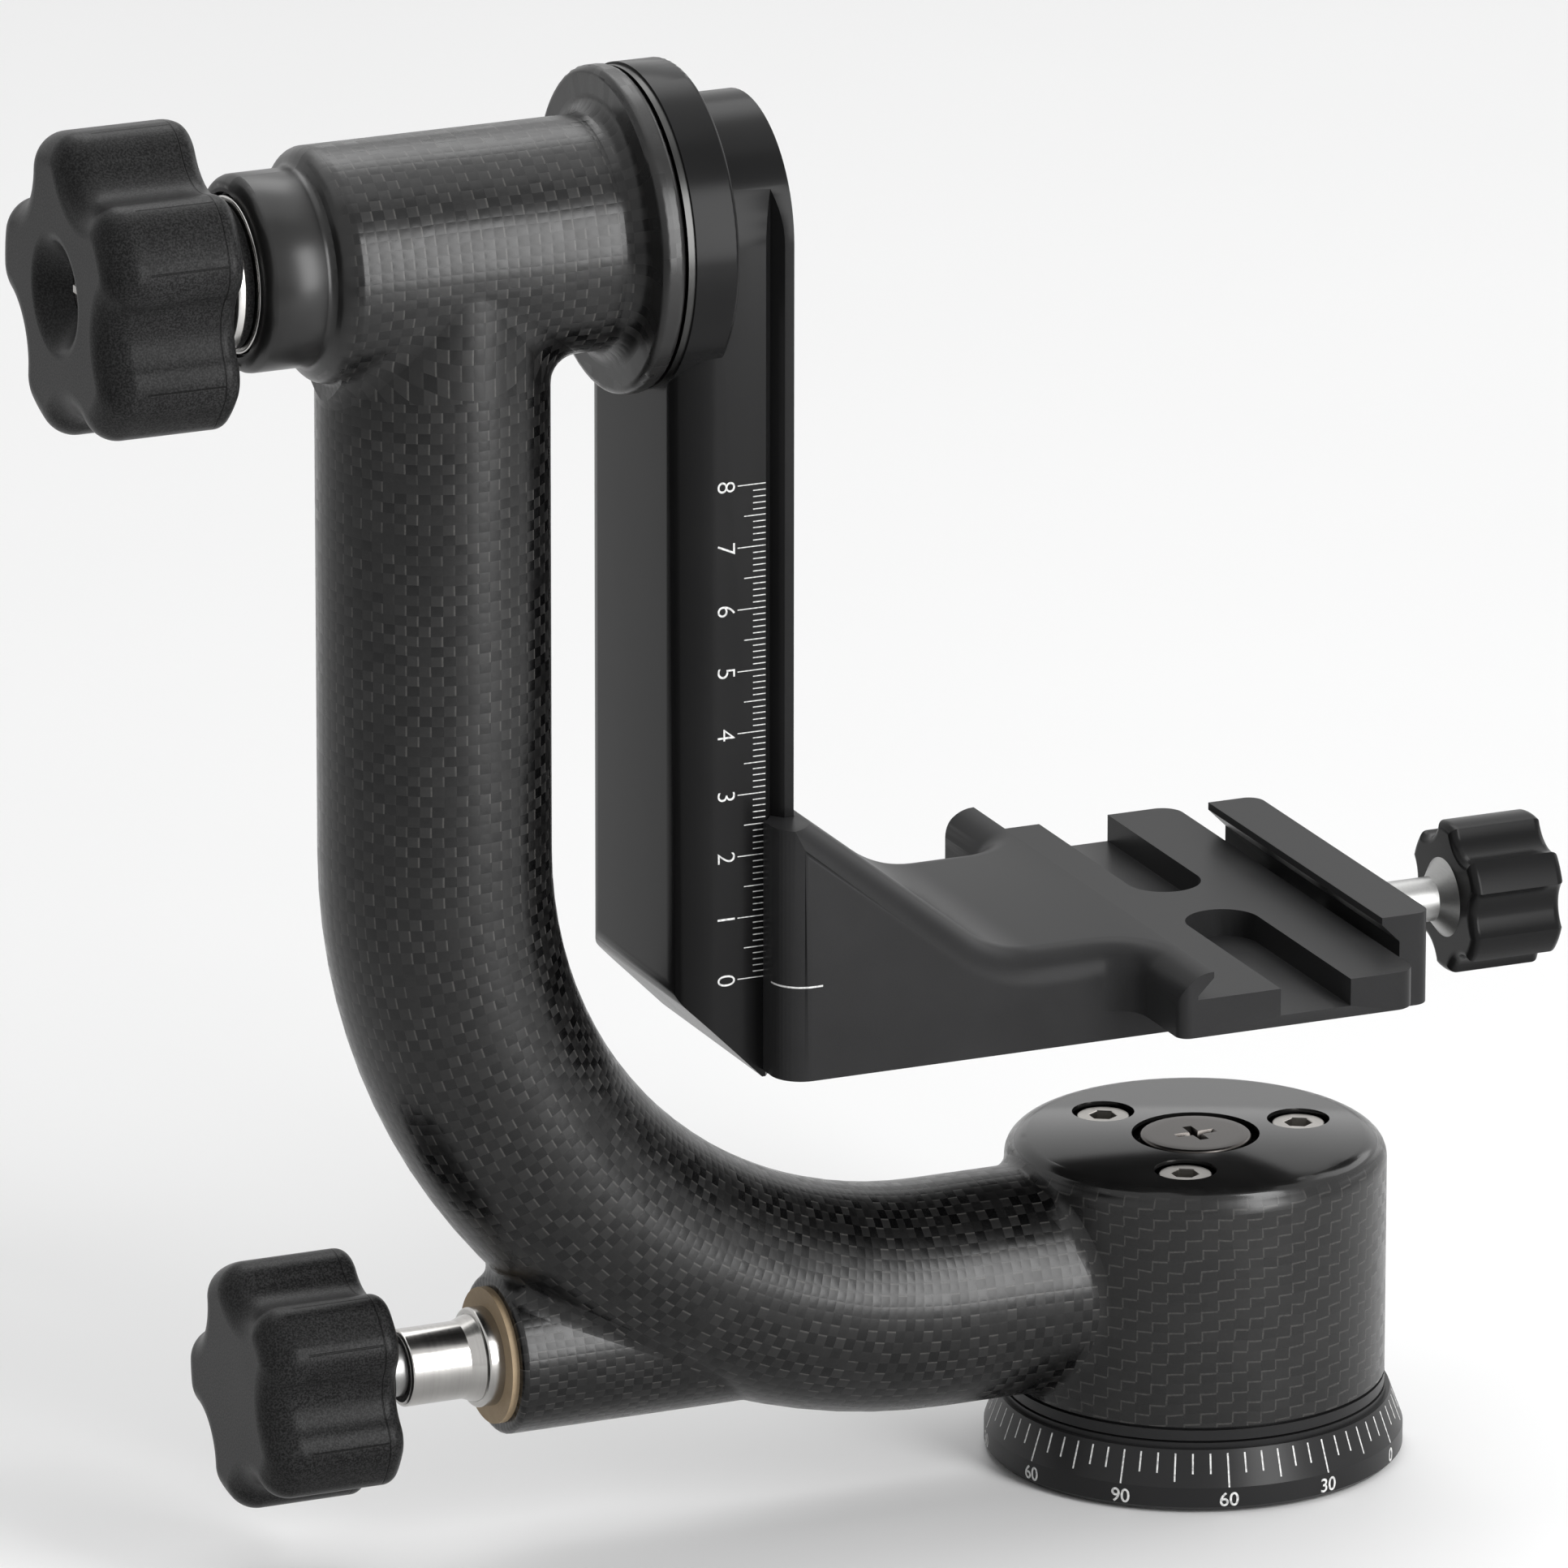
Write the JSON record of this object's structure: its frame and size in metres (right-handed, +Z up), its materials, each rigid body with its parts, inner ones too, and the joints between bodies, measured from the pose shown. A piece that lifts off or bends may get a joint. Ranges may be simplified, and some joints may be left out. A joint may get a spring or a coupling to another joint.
{
  "type": "gimbal tripod head",
  "caption": "Gimbal tripod head: J-shaped carbon arm that pans on a graduated base, swing arm on a tilt axis, and a height-adjustable cradle with a quick-release plate clamp.",
  "frame": {"origin": "middle of the base's underside, at the mouth of the tripod thread", "axes": "+Z up along the pan axis; the tilt axis runs along X, with the swing arm and the clamp on the +X side of the upright tube; the height scale faces -Y"},
  "size_m": [0.2516, 0.0912, 0.2381],
  "materials": {
    "carbon": "satin carbon fibre",
    "black_aluminium": "satin black anodised",
    "core_aluminium": "machined",
    "steel": "turned",
    "bright_steel": "polished",
    "bronze": "machined",
    "rubber": "matt",
    "black_plastic": "moulded, fine grain",
    "tan_fibre": "matt"
  },
  "bodies": {
    "base": {"base_dial": "black_aluminium", "thread_insert": "steel", "base_screws": "steel", "pan_spindle": "steel", "spindle_cap_screw": "bright_steel", "spindle_washer": "steel", "pan_lower_inner_race": "steel", "pan_upper_inner_race": "steel"},
    "arm": {"arm_shell": "carbon", "pan_housing": "core_aluminium", "drum_screws": "bright_steel", "drum_collar": "black_aluminium", "pan_lower_outer_race": "steel", "pan_upper_outer_race": "steel", "pan_lower_balls": "bright_steel", "pan_upper_balls": "bright_steel", "lock_sleeve": "bright_steel", "lock_liner": "tan_fibre", "rod_seal": "rubber", "tilt_housing": "core_aluminium", "tilt_bush": "bronze", "tilt_outer_race": "steel", "tilt_balls": "bright_steel", "thrust_seat_ring": "bright_steel"},
    "brake": {"brake_shoe": "bronze"},
    "pan_lock": {"lock_rod": "steel", "pan_knob": "black_plastic", "pan_knob_cap": "black_plastic"},
    "swing": {"swing_arm": "black_aluminium", "tilt_shaft": "steel", "shaft_screws": "steel", "friction_ring": "bright_steel", "tilt_inner_race": "steel", "tilt_knob_screw": "bright_steel"},
    "tilt_press": {"thrust_washer": "bright_steel", "thrust_cage": "black_plastic"},
    "tilt_lock": {"tilt_knob": "black_plastic", "tilt_knob_cap": "black_plastic", "tilt_knob_insert": "steel"},
    "cradle_body": {"cradle": "black_aluminium"},
    "rail_jaw": {"cradle_jaw": "black_aluminium"},
    "rail_lock": {"cradle_lock_screw": "steel", "cradle_lock_knob": "black_aluminium"},
    "plate_jaw": {"release_jaw": "black_aluminium", "guide_pins": "steel"},
    "plate_lock": {"release_screw": "bright_steel", "release_knob": "black_aluminium"}
  },
  "joints": [
    {"name": "pan", "type": "hinge", "parent": "base", "child": "arm", "pos_m": [0, 0, 0], "axis": [0, 0, 1], "continuous": true},
    {"name": "pan_brake_slide", "type": "slide", "parent": "arm", "child": "brake", "axis": [1, 0, 0], "range_m": [-0.0015, 0.00075]},
    {"name": "pan_lock_turn", "type": "hinge", "parent": "brake", "child": "pan_lock", "pos_m": [-0.15, 0, 0.0316], "axis": [1, 0, 0], "range_deg": [-360, 180]},
    {"name": "tilt", "type": "hinge", "parent": "arm", "child": "swing", "pos_m": [-0.1, 0, 0.2125], "axis": [1, 0, 0], "continuous": true},
    {"name": "tilt_press_slide", "type": "slide", "parent": "swing", "child": "tilt_press", "axis": [1, 0, 0], "range_m": [-0.0015, 0.00025]},
    {"name": "tilt_lock_turn", "type": "hinge", "parent": "tilt_press", "child": "tilt_lock", "pos_m": [-0.175, 0, 0.2125], "axis": [1, 0, 0], "range_deg": [-360, 60]},
    {"name": "cradle_slide", "type": "slide", "parent": "swing", "child": "cradle_body", "axis": [0, 0, 1], "range_m": [0, 0.08]},
    {"name": "rail_jaw_slide", "type": "slide", "parent": "cradle_body", "child": "rail_jaw", "axis": [0, 1, 0], "range_m": [0, 0.001]},
    {"name": "rail_lock_turn", "type": "hinge", "parent": "rail_jaw", "child": "rail_lock", "pos_m": [-0.0713, 0.03, 0.1], "axis": [0, 1, 0], "range_deg": [0, 288]},
    {"name": "plate_jaw_slide", "type": "slide", "parent": "cradle_body", "child": "plate_jaw", "axis": [1, 0, 0], "range_m": [-0.0027, 0.003]},
    {"name": "plate_lock_turn", "type": "hinge", "parent": "plate_jaw", "child": "plate_lock", "pos_m": [0.04, 0, 0.0856], "axis": [1, 0, 0], "range_deg": [-648, 720]}
  ],
  "couplings": [
    {"joint": "pan_lock_turn", "follows": "pan_brake_slide", "rad_per_m": 4188.8},
    {"joint": "tilt_lock_turn", "follows": "tilt_press_slide", "rad_per_m": 4188.8},
    {"joint": "rail_lock_turn", "follows": "rail_jaw_slide", "rad_per_m": 5026.5},
    {"joint": "plate_lock_turn", "follows": "plate_jaw_slide", "rad_per_m": 4188.8}
  ]
}
